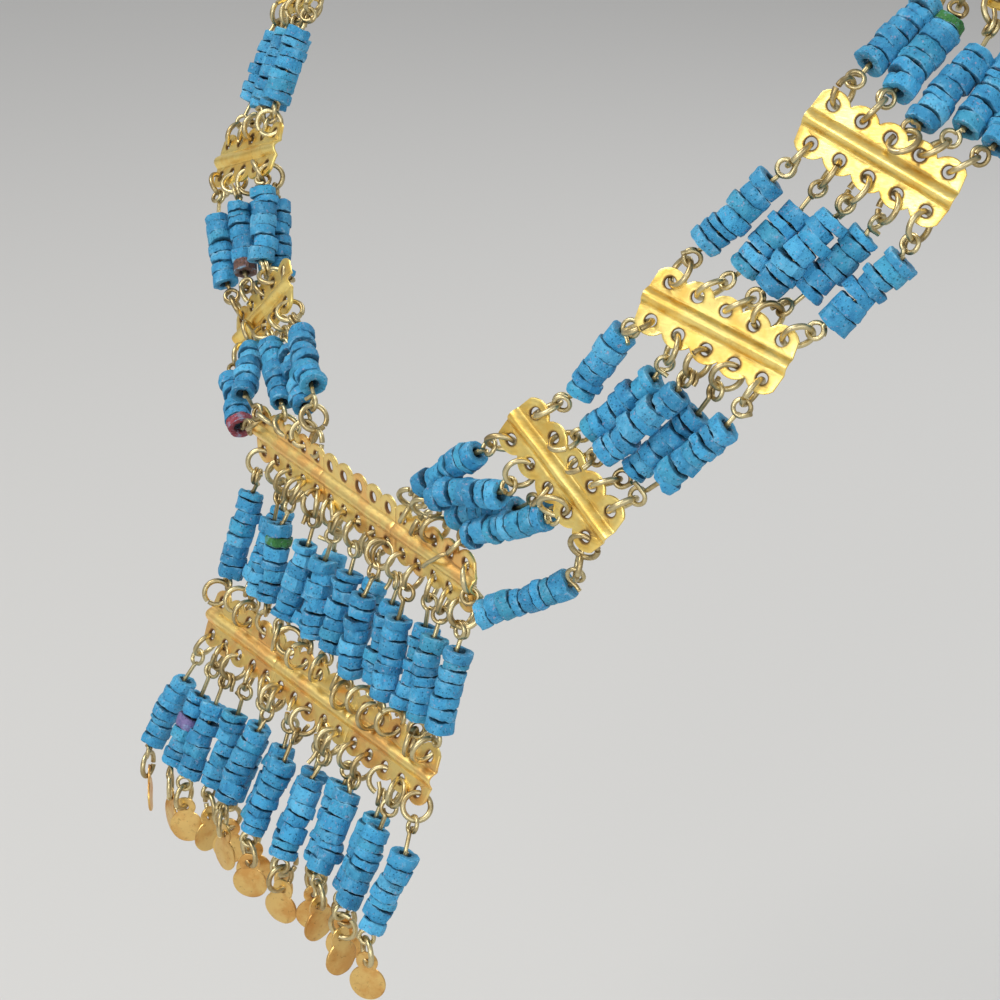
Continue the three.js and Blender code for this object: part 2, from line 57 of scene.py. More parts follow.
looking = Vector((
    -math.sin(view_azimuth) * math.cos(view_elevation),
    math.cos(view_azimuth) * math.cos(view_elevation),
    -math.sin(view_elevation),
))
level_right = Vector((math.cos(view_azimuth), math.sin(view_azimuth), 0))
level_up = level_right.cross(looking)
picture_right = math.cos(view_roll) * level_right + math.sin(view_roll) * level_up
picture_up = math.cos(view_roll) * level_up - math.sin(view_roll) * level_right

camera_data = bpy.data.cameras.new("camera")
camera_data.lens = 90.94
camera_data.sensor_width = 36
camera_data.clip_start = 0.01
camera_data.clip_end = 20
camera = bring_in("camera", camera_data)
camera.matrix_world = Matrix((
    (picture_right.x, picture_up.x, -looking.x, standpoint.x),
    (picture_right.y, picture_up.y, -looking.y, standpoint.y),
    (picture_right.z, picture_up.z, -looking.z, standpoint.z),
    (0, 0, 0, 1),
))
bpy.context.scene.camera = camera

# Spacer bars
# Pressed from thin brass sheet, with a half-round rib down the middle, a scalloped edge and a
# hole in each scallop. Each long bar is three short ones soldered end to end.
mm = 0.001
dice = random.Random(11)

hole_pitch = 5
hole_radius = 0.95
hole_row = 3.25
scallop_tip = 2.3
scallop_radius = 3
scallop_steps = 9
scallop_apart = 0.04
sheet = 0.6
sheet_edge = 0.16
rib_half_width = 1.3
rib_height = 1.0
rib_tab = 0.4
rib_tab_taper = 0.2
crease_line = 1.65
crease_depth = 0.07
seam_half_width = 0.05
seam_shoulder = 0.09
seam_depth = 0.05
bar_holes = 5
gather_hole = 6
gather_lobe = 2.4

# Each bar's middle in millimetres, the way its row of holes runs, and the way up the strap.
bar_places = {
    "pectoral_bar_upper": dict(at=(0, -122, -125), along=(1, 0, 0), up=(0, 0, 1)),
    "pectoral_bar_lower": dict(at=(0.7, -131.4, -159.5), along=(1, 0.04, 0.02), up=(-0.03, 0.37, 0.93)),
    "strap_bar_right_1": dict(at=(49.4, -114.1, -102.1), along=(0.8, 0.19, -0.57), up=(0.48, 0.36, 0.8)),
    "strap_bar_right_2": dict(at=(65.8, -98.1, -75.3), along=(0.88, 0.41, -0.25), up=(0, 0.51, 0.86)),
    "strap_bar_right_3": dict(at=(76.4, -78, -48.3), along=(0.82, 0.45, -0.36), up=(0.14, 0.45, 0.88)),
    "end_plate_right": dict(at=(73, -52, -25.8), along=(0.85, 0.4, -0.33), up=(-0.2, 0.82, 0.54)),
    "strap_bar_left_1": dict(at=(-52.4, -112.6, -107.9), along=(0.72, 0.07, 0.69), up=(-0.68, 0.3, 0.67)),
    "strap_bar_left_2": dict(at=(-77.9, -102.3, -85.9), along=(0.93, 0.02, 0.37), up=(-0.33, 0.47, 0.81)),
    "strap_bar_left_3": dict(at=(-83.6, -85.5, -55), along=(0.91, -0.16, 0.38), up=(-0.26, 0.5, 0.83)),
    "end_plate_left": dict(at=(-80.2, -59.6, -32.6), along=(0.87, -0.38, 0.3), up=(0.2, 0.82, 0.54)),
}


def paint(red, green, blue):
    """A colour as it looks on a screen, 0 to 255, as the light that a shader wants."""
    shares = [value / 255 for value in (red, green, blue)]
    light = [s / 12.92 if s <= 0.04045 else ((s + 0.055) / 1.055) ** 2.4 for s in shares]
    return (*light, 1)


def place(tree, kind, settings=None, sockets=None):
    """Adds a shader node: settings are its own values, sockets its inputs by name or number."""
    added = tree.nodes.new(kind)
    for label, value in (settings or {}).items():
        setattr(added, label, value)
    for label, value in (sockets or {}).items():
        if isinstance(value, bpy.types.NodeSocket):
            tree.links.new(value, added.inputs[label])
        else:
            added.inputs[label].default_value = value
    return added


def blend_colours(tree, share, first, second, kind="MIX"):
    """Mixes two colours by a share that changes over the surface."""
    mixed = place(
        tree,
        "ShaderNodeMix",
        dict(data_type="RGBA", blend_type=kind),
        {0: share, 6: first, 7: second},
    )
    return mixed.outputs[2]


def spread_range(tree, value, low, high, to_low=0.0, to_high=1.0):
    """Stretches the part of a value between low and high over another range."""
    ranged = place(
        tree,
        "ShaderNodeMapRange",
        dict(interpolation_type="SMOOTHSTEP"),
        {0: value, 1: low, 2: high, 3: to_low, 4: to_high},
    )
    return ranged.outputs[0]


def reckon(tree, operation, *values):
    """One step of arithmetic on values that change over the surface."""
    return place(tree, "ShaderNodeMath", dict(operation=operation), dict(enumerate(values))).outputs[0]


def grain(tree, at, scale, detail, roughness=0.5):
    """Cloudy noise of one fineness."""
    sockets = {"Vector": at, "Scale": scale, "Detail": detail, "Roughness": roughness}
    return place(tree, "ShaderNodeTexNoise", None, sockets).outputs[0]


def make_tarnish():
    """Old brass: a dark mask with painted shade, and speckled tarnish, over bright metal with fine
    scratches.
    """
    tree = bpy.data.node_groups.new("tarnish", "ShaderNodeTree")
    for label, kind, value in (
        ("Bright", "NodeSocketColor", paint(214, 170, 84)),
        ("Warm", "NodeSocketColor", paint(200, 140, 60)),
        ("Dark", "NodeSocketColor", paint(84, 66, 30)),
        ("Grime_and_shade", "NodeSocketFloat", 0.0),
        ("Speckle", "NodeSocketFloat", 0.5),
    ):
        tree.interface.new_socket(label, in_out="INPUT", socket_type=kind).default_value = value
    for label, kind in (
        ("Colour", "NodeSocketColor"),
        ("Roughness", "NodeSocketFloat"),
        ("Metal", "NodeSocketFloat"),
        ("Height", "NodeSocketFloat"),
    ):
        tree.interface.new_socket(label, in_out="OUTPUT", socket_type=kind)
    given = tree.nodes.new("NodeGroupInput").outputs
    here = place(tree, "ShaderNodeTexCoord").outputs["Object"]
    clouds = grain(tree, here, 170, 5, 0.6)
    specks = grain(tree, here, 1100, 4, 0.7)
    stretched = place(tree, "ShaderNodeMapping", None, {"Vector": here, "Scale": (1, 1, 7)})
    scratches = grain(tree, stretched.outputs[0], 900, 3)
    warm_share = spread_range(tree, clouds, 0.42, 0.62)
    clean = blend_colours(tree, warm_share, given["Bright"], given["Warm"])
    stains = spread_range(tree, specks, 0.56, 0.72)
    stain_share = reckon(tree, "MULTIPLY", stains, given["Speckle"])
    broken = reckon(tree, "MULTIPLY_ADD", clouds, 0.9, -0.45)
    # The mesh's painted shade, dark solder and dull patches, broken by clouds and joined to the stains.
    grime_and_shade = spread_range(tree, reckon(tree, "ADD", given["Grime_and_shade"], broken), 0.25, 0.8)
    dirt_and_shade = reckon(tree, "MAXIMUM", grime_and_shade, stain_share)
    colour = blend_colours(tree, dirt_and_shade, clean, given["Dark"])
    shine = spread_range(tree, scratches, 0.3, 0.7, 0.33, 0.45)
    dull = reckon(tree, "MULTIPLY_ADD", dirt_and_shade, 0.3, shine)
    metal = spread_range(tree, dirt_and_shade, 0, 1, 1, 0.55)
    height = reckon(tree, "MULTIPLY_ADD", scratches, 0.2, clouds)
    out = tree.nodes.new("NodeGroupOutput").inputs
    tree.links.new(colour, out["Colour"])
    tree.links.new(dull, out["Roughness"])
    tree.links.new(metal, out["Metal"])
    tree.links.new(height, out["Height"])
    return tree


tarnish = make_tarnish()


def brass(name, bright, warm, dark, speckle, relief):
    """Brass of one batch: its own bright, warm and dark colours over the shared tarnish and painted shade.
    """
    material = bpy.data.materials.new(name)
    material.use_nodes = True
    tree = material.node_tree
    shader = tree.nodes["Principled BSDF"]
    # The mesh's dark mask: painted shade, dark solder and dull patches.
    grime_and_shade = place(tree, "ShaderNodeAttribute", dict(attribute_name="grime_and_shade")).outputs["Fac"]
    aged = place(
        tree,
        "ShaderNodeGroup",
        dict(node_tree=tarnish),
        {"Bright": bright, "Warm": warm, "Dark": dark, "Grime_and_shade": grime_and_shade, "Speckle": speckle},
    ).outputs
    bump = place(
        tree, "ShaderNodeBump", None, {"Strength": relief, "Distance": 0.0002, "Height": aged["Height"]}
    )
    tree.links.new(aged["Colour"], shader.inputs["Base Color"])
    tree.links.new(aged["Roughness"], shader.inputs["Roughness"])
    tree.links.new(aged["Metal"], shader.inputs["Metallic"])
    tree.links.new(bump.outputs[0], shader.inputs["Normal"])
    return material


strap_brass = brass(
    "strap_brass", paint(255, 230, 142), paint(250, 210, 110), paint(110, 82, 40), 0.25, 0.16
)
pectoral_brass = brass(
    "pectoral_brass", paint(255, 227, 144), paint(254, 203, 123), paint(124, 86, 46), 0.25, 0.16
)


def scallop(outline, centre_x, side):
    """Adds one scallop of a bar's edge to its outline, round the hole at centre_x."""
    centre_y = hole_row + scallop_tip - scallop_radius
    half = math.asin(hole_pitch / 2 / scallop_radius)
    for step in range(scallop_steps):
        run = (step + scallop_apart) / (scallop_steps - 1 + 2 * scallop_apart)
        turn = (half - 2 * half * run) * side
        outline.append((
            centre_x + scallop_radius * math.sin(turn),
            side * (centre_y + scallop_radius * math.cos(turn)),
        ))


def circle(centre_x, centre_y, radius, steps):
    """The corners of a round hole."""
    angles = [2 * math.pi * step / steps for step in range(steps)]
    return [(centre_x + radius * math.cos(a), centre_y + radius * math.sin(a)) for a in angles]


def punch(middles):
    """A row of holes of slightly uneven width, as a worn punch leaves them."""
    return [circle(x, y, hole_radius * dice.uniform(0.94, 1.06), 16) for x, y in middles]


def cut_sheet(outline, holes, thickness, edge):
    """Cuts a flat sheet with holes and softened edges, in millimetres."""
    curve = bpy.data.curves.new("cut", "CURVE")
    curve.dimensions = "2D"
    curve.fill_mode = "BOTH"
    curve.extrude = thickness / 2 - edge
    curve.bevel_depth = edge
    curve.bevel_resolution = 1
    curve.offset = -edge
    for loop in [outline] + holes:
        spline = curve.splines.new("POLY")
        spline.points.add(len(loop) - 1)
        for point, (x, y) in zip(spline.points, loop):
            point.co = (x, y, 0, 1)
        spline.use_cyclic_u = True
    flat = bring_in("cut", curve)
    cut = bpy.data.meshes.new_from_object(flat.evaluated_get(bpy.context.evaluated_depsgraph_get()))
    metal = bmesh.new()
    metal.from_mesh(cut)
    bmesh.ops.remove_doubles(metal, verts=metal.verts, dist=0.001)
    bpy.data.objects.remove(flat)
    bpy.data.curves.remove(curve)
    bpy.data.meshes.remove(cut)
    return metal


def score(metal, direction, distances):
    """Adds edges across a sheet where it is to be bent or shaded."""
    for distance in distances:
        bmesh.ops.bisect_plane(
            metal,
            geom=metal.verts[:] + metal.edges[:] + metal.faces[:],
            dist=0.0005,
            plane_co=direction * distance,
            plane_no=direction,
        )


def show(name, mesh, material):
    """Puts a finished mesh in the scene as one rigid piece of the necklace."""
    mesh.materials.append(material)
    piece = bring_in(name, mesh)
    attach(piece, "root")
    return piece


def stance_of(bar_name):
    """A bar's middle and its own directions: along it, up the strap and out of its face."""
    at = Vector(bar_places[bar_name]["at"])
    along = Vector(bar_places[bar_name]["along"]).normalized()
    up = Vector(bar_places[bar_name]["up"])
    up = (up - up.project(along)).normalized()
    return at, along, up, along.cross(up)


def press_bar(name, hole_count, gathers, material):
    """Presses one bar: cuts it, raises its rib, paints shade round holes and rib foot, darkens its seams.
    """
    half_length = hole_count * hole_pitch / 2
    holes_x = [(index - (hole_count - 1) / 2) * hole_pitch for index in range(hole_count)]
    outline = []
    middles = [(x, -hole_row) for x in holes_x]
    holes = punch(middles)
    if gathers:
        for turn in range(-30, 211, 20):
            angle = math.radians(turn)
            outline.append((gather_lobe * math.cos(angle), gather_hole + gather_lobe * math.sin(angle)))
        outline.append((-half_length, rib_half_width))
        holes.append(circle(0, gather_hole, hole_radius, 16))
        middles.append((0, gather_hole))
    else:
        for x in reversed(holes_x):
            scallop(outline, x, 1)
        upper_middles = [(x, hole_row) for x in holes_x]
        holes += punch(upper_middles)
        middles += upper_middles
    tab_x = half_length + rib_tab
    tab_y = rib_half_width - rib_tab_taper
    outline += [(-tab_x, tab_y), (-tab_x, -tab_y)]
    for x in holes_x:
        scallop(outline, x, -1)
    outline += [(tab_x, -tab_y), (tab_x, tab_y)]
    if gathers:
        outline.append((half_length, rib_half_width))
    metal = cut_sheet(outline, holes, sheet, sheet_edge)
    shorts = hole_count // bar_holes
    seams = [half_length - short * bar_holes * hole_pitch for short in range(1, shorts)]
    rib_scores = [step / 4 for step in range(-6, 7)]
    score(metal, Vector((0, 1, 0)), rib_scores + [-crease_line, crease_line, -4.4, 4.4, -2.2, 2.2])
    score(metal, Vector((1, 0, 0)), [x - half_length for x in range(1, int(2 * half_length))])
    shoulders = (-seam_shoulder, 0, seam_shoulder)
    score(metal, Vector((1, 0, 0)), [seam + step for seam in seams for step in shoulders])
    shade = metal.verts.layers.float.new("grime_and_shade")
    at, along, up, out = stance_of(name)
    leans = [dice.uniform(-0.06, 0.06) for _ in range(shorts)]
    seed = dice.uniform(0, 90)
    for corner in metal.verts:
        x, y, z = corner.co
        rib = 0.0
        if abs(y) < rib_half_width:
            rib = rib_height * math.cos(math.pi * y / 2 / rib_half_width) ** 0.8
        elif abs(y) < crease_line + 0.01:
            rib = -crease_depth
        short = min(int((x + half_length) / (bar_holes * hole_pitch)), shorts - 1)
        wobble = 0.16 * noise.noise((x * 0.16, y * 0.2, seed)) + leans[max(short, 0)]
        groove = seam_depth if any(abs(x - seam) < seam_half_width for seam in seams) else 0
        # Painted shade round the holes and in the crease at the rib's foot, dark solder along the seams;
        # the rib's top is kept clear.
        nearest = min(math.hypot(x - hole_x, y - hole_y) for hole_x, hole_y in middles)
        grime_and_shade = max(0.0, 1 - (nearest - hole_radius) / 0.75) * 0.85
        grime_and_shade = max(grime_and_shade, 0.42 if 1.25 < abs(y) < 1.7 else 0, 0.75 if groove else 0)
        if rib > 0.5:
            grime_and_shade = 0.6 if groove else min(grime_and_shade, 0.05)
        corner[shade] = grime_and_shade
        corner.co = (at + along * x + up * y + out * (z + rib + wobble - groove)) * mm
    mesh = bpy.data.meshes.new(name)
    metal.to_mesh(mesh)
    metal.free()
    mesh.shade_smooth()
    mesh.set_sharp_from_angle(angle=math.radians(38))
    bar = show(name + "_pressed", mesh, material)
    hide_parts(name)


long_bar_holes = 3 * bar_holes
press_bar("pectoral_bar_upper", long_bar_holes, False, pectoral_brass)
press_bar("pectoral_bar_lower", long_bar_holes, False, pectoral_brass)
for side in ("right", "left"):
    for number in (1, 2, 3):
        press_bar(f"strap_bar_{side}_{number}", bar_holes, False, strap_brass)
    press_bar(f"end_plate_{side}", bar_holes, True, strap_brass)


# Strands of the upper tier
# Small discs cut from fired blue paste, strung seven or eight to a brass pin. Each end of the
# pin is coiled into an eye, and a jump ring joins the eye to a hole in the bar.
bead_diameter = 4.7
bead_thickness = 2.1
bead_bore = 1.02
bead_around = 24
# Painted shade on faces that meet the next bead, with old staining, and painted shade in the bore.
covered_shade = 0.38
bore_shade = 0.22
ring_radius = 2.35
ring_wire = 0.49
ring_steps = 26
ring_cut = 0.16
eye_radius = 1.3
eye_steps = 22
pin_wire = 0.39
eye_seat = 1.5
link_seat = 0.42
wire_around = 8

blue = Vector(paint(64, 159, 206)[:3])
deep_blue = Vector(paint(44, 128, 174)[:3])
pale_blue = Vector(paint(98, 186, 226)[:3])
green_blue = Vector(paint(64, 158, 188)[:3])


class Tray:
    """Small parts of one finish, laid out together before they become one piece."""

    def __init__(self):
        self.points = []
        self.faces = []
        self.tints_and_shades = []

    def lay(self, points, faces, tints_and_shades):
        start = len(self.points)
        self.points.extend(point * mm for point in points)
        self.faces.extend(tuple(start + corner for corner in face) for face in faces)
        self.tints_and_shades.extend(tints_and_shades)

    def make(self, name, material, sharp_angle):
        mesh = bpy.data.meshes.new(name)
        mesh.from_pydata(self.points, [], self.faces)
        # Each point's colour, with painted shade on beads between them and in bores; alpha marks worn
        # edges.
        tints_and_shades = mesh.color_attributes.new("tint_and_shade", "FLOAT_COLOR", "POINT")
        tints_and_shades.data.foreach_set("color", [part for tint_and_shade in self.tints_and_shades for part in tint_and_shade])
        mesh.shade_smooth()
        mesh.set_sharp_from_angle(angle=math.radians(sharp_angle))
        return show(name, mesh, material)


def make_paste():
    """Fired paste: matt and chalky, with pale and pinkish specks and pale worn edges."""
    material = bpy.data.materials.new("fired_paste")
    material.use_nodes = True
    tree = material.node_tree
    shader = tree.nodes["Principled BSDF"]
    here = place(tree, "ShaderNodeTexCoord").outputs["Object"]
    # Each bead's colour with painted shade between beads and in the bore; alpha marks worn edges.
    tint_and_shade = place(tree, "ShaderNodeAttribute", dict(attribute_name="tint_and_shade")).outputs
    clouds = grain(tree, here, 520, 6, 0.68)
    specks = grain(tree, here, 1500, 3, 0.6)
    pits = place(tree, "ShaderNodeTexVoronoi", None, {"Vector": here, "Scale": 1700, "Randomness": 1})
    shade_share = spread_range(tree, clouds, 0.5, 0.34, 0, 0.8)
    shaded = blend_colours(tree, shade_share, tint_and_shade["Color"], (0.5, 0.66, 0.76, 1), "MULTIPLY")
    chalk_share = spread_range(tree, clouds, 0.52, 0.68, 0, 0.42)
    chalked = blend_colours(tree, chalk_share, shaded, paint(128, 190, 224))
    pit_share = spread_range(tree, pits.outputs["Distance"], 0.26, 0.08, 0, 0.5)
    pitted_blue = blend_colours(tree, pit_share, chalked, paint(26, 66, 92))
    rosy_share = spread_range(tree, specks, 0.61, 0.69, 0, 0.55)
    rosy = blend_colours(tree, rosy_share, pitted_blue, paint(168, 158, 184))
    worn = reckon(tree, "MULTIPLY", tint_and_shade["Alpha"], clouds)
    worn_share = spread_range(tree, worn, 0.38, 0.62, 0, 0.6)
    edged = blend_colours(tree, worn_share, rosy, paint(140, 204, 236))
    pitted = spread_range(tree, pits.outputs["Distance"], 0, 0.35)
    relief = reckon(tree, "MULTIPLY_ADD", pitted, 0.3, clouds)
    bump = place(tree, "ShaderNodeBump", None, {"Strength": 0.8, "Distance": 0.0009, "Height": relief})
    rough = spread_range(tree, clouds, 0.3, 0.7, 0.5, 0.72)
    tree.links.new(edged, shader.inputs["Base Color"])
    tree.links.new(rough, shader.inputs["Roughness"])
    tree.links.new(bump.outputs[0], shader.inputs["Normal"])
    shader.inputs["Specular IOR Level"].default_value = 0.35
    return material


paste = make_paste()
wire_brass = brass("wire_brass", paint(208, 194, 150), paint(172, 152, 108), paint(78, 66, 46), 0.55, 0.25)


def across(direction):
    """Any direction square to the given one."""
    helper = Vector((0, 0, 1)) if abs(direction.z) < 0.9 else Vector((1, 0, 0))
    return direction.cross(helper).normalized()


def lay_bead(tray, middle, axis, thickness, diameter, colour, open_low, open_high):
    """One disc bead: chipped and uneven. Between two beads its faces have painted shade and old staining.
    """
    side = across(axis)
    front = axis.cross(side)
    phases = [dice.uniform(0, 2 * math.pi) for _ in range(5)]
    waves = [dice.uniform(0.0, 0.03), dice.uniform(0, 0.02), dice.uniform(0, 0.012)]
    wedge_low, wedge_high = dice.uniform(0, 0.16), dice.uniform(0, 0.16)
    taper = dice.uniform(-0.12, 0.12)
    chips = [
        (dice.uniform(0, 2 * math.pi), dice.uniform(0.25, 0.75), dice.choice((-1, 1)), dice.randint(8, 40))
        for _ in range(dice.choice((0, 0, 1, 1, 2, 3)))
    ]
    soft = dice.uniform(0.14, 0.32)
    bore = bead_bore * dice.uniform(0.88, 1.15)
    off_x, off_y = dice.uniform(-0.14, 0.14), dice.uniform(-0.14, 0.14)
    seed = Vector((dice.uniform(0, 50), dice.uniform(0, 50), dice.uniform(0, 50)))
    # Open ends keep their full colour; faces that meet another bead get painted shade and old staining.
    shade_and_dirt_low = 1 if open_low else covered_shade
    shade_and_dirt_high = 1 if open_high else covered_shade
    points = []
    tints_and_shades = []
    for step in range(bead_around):
        angle = 2 * math.pi * step / bead_around
        spoke = side * math.cos(angle) + front * math.sin(angle)
        rim = diameter / 2 * (
            1
            + waves[0] * math.cos(2 * angle + phases[0])
            + waves[1] * math.cos(3 * angle + phases[1])
            + waves[2] * math.cos(6 * angle + phases[2])
        )
        rim += 0.3 * noise.noise(spoke * 1.8 + seed) + 0.1 * noise.noise(spoke * 5 + seed)
        low = -thickness / 2 + wedge_low * math.cos(angle + phases[3])
        low += 0.26 * noise.noise(spoke * 2.4 - seed)
        high = thickness / 2 + wedge_high * math.cos(angle + phases[4])
        high += 0.26 * noise.noise(spoke * 2.4 + 2 * seed)
        soft_low = soft_high = soft
        for chip_at, depth, end, sharpness in chips:
            near = max(0.0, math.cos((angle - chip_at) / 2)) ** sharpness
            if end > 0:
                soft_high += depth * near
            else:
                soft_low += depth * near
        # The last value is how bright each point is painted: painted shade in the bore and on covered
        # faces.
        profile = (
            (bore + 0.12, low + 0.08, 0, 0.5 * shade_and_dirt_low),
            (rim - soft_low - 0.1 + taper, low, 0.4, shade_and_dirt_low),
            (rim - soft_low * 0.25 + taper, low + soft_low * 0.25, 1, 0.5 + 0.5 * shade_and_dirt_low),
            (rim + taper * 0.8, low + soft_low, 0.7, 1),
            (rim + 0.16 * noise.noise(spoke * 4 + 3 * seed), (low + high) / 2, 0.2, 1),
            (rim - taper * 0.8, high - soft_high, 0.7, 1),
            (rim - soft_high * 0.25 - taper, high - soft_high * 0.25, 1, 0.5 + 0.5 * shade_and_dirt_high),
            (rim - soft_high - 0.1 - taper, high, 0.4, shade_and_dirt_high),
            (bore + 0.12, high - 0.08, 0, 0.5 * shade_and_dirt_high),
            (bore, high - 0.3, 0, bore_shade),
            (bore, low + 0.3, 0, bore_shade),
        )
        for radius, height, edge, clean in profile:
            shift = 1 if radius < rim * 0.6 else 0
            points.append(middle + axis * height + spoke * radius + (side * off_x + front * off_y) * shift)
            tints_and_shades.append((*(colour * clean), edge))
    around = len(profile)
    faces = []
    for step in range(bead_around):
        here = step * around
        after = (step + 1) % bead_around * around
        for corner in range(around):
            beyond = (corner + 1) % around
            faces.append((here + corner, after + corner, after + beyond, here + beyond))
    tray.lay(points, faces, tints_and_shades)


def bead_colour():
    """The blue of one bead: the batch isn't even."""
    share = dice.random()
    base = blue.lerp(dice.choice((deep_blue, deep_blue, pale_blue, green_blue)), share * 0.7)
    return base * dice.uniform(0.84, 1.1)


def lay_wire(tray, path, radius, closed=False):
    """Draws wire of one thickness along a path."""
    count = len(path)
    points = []
    faces = []
    heading = (path[1] - path[0]).normalized()
    side = across(heading)
    for index, here in enumerate(path):
        before = path[index - 1] if index or closed else here
        after = path[(index + 1) % count] if index < count - 1 or closed else here
        turned = (after - before).normalized()
        side = heading.rotation_difference(turned) @ side
        side = (side - side.project(turned)).normalized()
        heading = turned
        other = heading.cross(side)
        for step in range(wire_around):
            angle = 2 * math.pi * step / wire_around
            points.append(here + radius * (math.cos(angle) * side + math.sin(angle) * other))
    for index in range(count if closed else count - 1):
        here = index * wire_around
        after = (index + 1) % count * wire_around
        for step in range(wire_around):
            beyond = (step + 1) % wire_around
            faces.append((here + step, here + beyond, after + beyond, after + step))
    if not closed:
        faces.append(tuple(reversed(range(wire_around))))
        faces.append(tuple(range((count - 1) * wire_around, count * wire_around)))
    tray.lay(points, faces, [(1, 1, 1, 1)] * len(points))


def string_strand(beads, wires, start, end, count, odd=None, size=1.0):
    """Strings one strand from start to end: its pin, and the beads, each a little off the pin.
    odd holds the beads of another colour. Returns the way from start to end.
    """
    axis = (end - start).normalized()
    widths = [
        dice.choice((dice.uniform(0.62, 0.85), dice.uniform(0.85, 1.2), dice.uniform(0.95, 1.35)))
        for _ in range(count)
    ]
    scale = (end - start).length / sum(widths)
    run = 0
    for index, width in enumerate(widths):
        width *= scale
        middle = start + axis * (run + width / 2)
        run += width
        aside = Quaternion(axis, dice.uniform(0, 2 * math.pi)) @ across(axis)
        play = dice.uniform(0.05, 0.56)
        hinge = Quaternion(axis, dice.uniform(0, 2 * math.pi)) @ across(axis)
        tilt = Quaternion(hinge, math.radians(dice.uniform(0, 7)))
        diameter = bead_diameter * size * dice.uniform(0.95, 1.08)
        colour = (odd or {}).get(index) or bead_colour()
        gap = dice.uniform(0.02, 0.14)
        ends = (index == 0, index == count - 1)
        lay_bead(beads, middle + aside * play, tilt @ axis, width - gap, diameter, colour, *ends)
    lay_wire(wires, [start - axis * 0.3, end + axis * 0.3], pin_wire)
    return axis


def lay_ring(tray, through, link, lean):
    """A jump ring through a hole and an eye. lean is the way its middle stands off their line.
    Returns the way that its wire runs through the eye.
    """
    chord = link - through
    half = min(chord.length / 2, ring_radius * 0.998)
    toward = chord.normalized()
    off = (lean - lean.project(toward)).normalized()
    centre = through.lerp(link, 0.5) + off * math.sqrt(ring_radius ** 2 - half ** 2)
    normal = toward.cross(off)
    cut = dice.uniform(0, 2 * math.pi)
    path = []
    for step in range(ring_steps + 1):
        angle = cut + (2 * math.pi - ring_cut) * step / ring_steps
        spring = normal * 0.12 * (step / ring_steps - 0.5)
        path.append(centre + ring_radius * (math.cos(angle) * toward + math.sin(angle) * off) + spring)
    lay_wire(tray, path, ring_wire)
    return normal.cross((link - centre).normalized())


def lay_eye(tray, seat, centre, normal, turns, tail):
    """The coiled end of a pin: its stem from the beads, its eye, and a loose tail of wire."""
    stem = (seat - centre).normalized()
    normal = (normal - normal.project(stem)).normalized()
    side = normal.cross(stem)
    pitch = 2.1 * pin_wire
    start = -normal * pitch * turns / 2
    path = [seat, centre + stem * (eye_radius + 0.5) + start * 0.5]
    steps = int(eye_steps * turns)
    for step in range(steps + 1):
        angle = 0.12 + 2 * math.pi * turns * step / steps
        grown = eye_radius * (1 + 0.04 * math.sin(angle * 1.3))
        path.append(
            centre
            + grown * (math.cos(angle) * stem + math.sin(angle) * side)
            + start
            + normal * pitch * turns * step / steps
        )
    if tail:
        leave = (path[-1] - path[-2]).normalized()
        path.append(path[-1] + leave * tail * 0.5)
        path.append(path[-1] + (leave + normal * 0.3) * tail * 0.5)
    lay_wire(tray, path, pin_wire)


def join_end(tray, hole, out, bead_end, inward, rings=1, tail=0.0, doubled=0.0):
    """Joins a strand's end to a hole: the pin's eye beside the beads, then one ring or more.
    doubled is how often a second ring lies beside the first in the hole.
    """
    reach = hole - bead_end
    away = reach.normalized()
    link_room = 2 * ring_radius * 0.985
    spare = max(0.0, reach.length - eye_seat - 0.4 - link_room * rings)
    centre = bead_end + (away * 0.8 - inward * 0.2).normalized() * (eye_seat + spare * 0.9)
    link = centre + (hole - centre).normalized() * link_seat
    swing = Quaternion(away, math.radians(dice.uniform(-48, 48)))
    lean = swing @ (out * dice.choice((1, 1, 1, -1)))
    if (link - hole).length < link_room * 0.8 and lean.dot(out) < 0:
        lean = -lean
    if dice.random() < doubled:
        apart = away.cross(out).normalized() * ring_wire * 0.95
        spread = Quaternion(away, math.radians(dice.choice((-1, 1)) * dice.uniform(35, 60)))
        lay_ring(tray, hole + apart, link + apart, spread @ lean)
        hole = hole - apart
        link = link - apart * 0.6
    for number in range(rings):
        from_point = link.lerp(hole, number / rings)
        to_point = link.lerp(hole, (number + 1) / rings)
        crossing = lay_ring(tray, to_point, from_point, lean)
        if number == 0:
            first_crossing = crossing
        lean = Quaternion(away, math.radians(90 + dice.uniform(-20, 20))) @ lean
    turned = Quaternion(away, math.radians(dice.uniform(-24, 24))) @ first_crossing
    turns = dice.choice((1.0, 1.15, 1.3, 1.75))
    lay_eye(tray, bead_end + inward * 0.8, centre, turned, turns, tail)


def hole_of(bar_name, index, row, hole_count):
    """A hole's middle and the bar's outward direction there."""
    at, along, up, out = stance_of(bar_name)
    x = (index - (hole_count - 1) / 2) * hole_pitch
    return at + along * x + up * row * hole_row, out


def strand_ends(hole, down, beside, row):
    """Where a strand's beads begin and end below its hole, from its row in the table."""
    before = down.cross(beside)
    ends = []
    for label, thicknesses in (("top", row["gap"]), ("foot", row["gap"] + row["beads"])):
        off_beside, off_before = row[label]
        aside = hole_pitch * (beside * off_beside + before * off_before)
        ends.append(hole + down * (thicknesses * bead_thickness) + aside)
    return ends


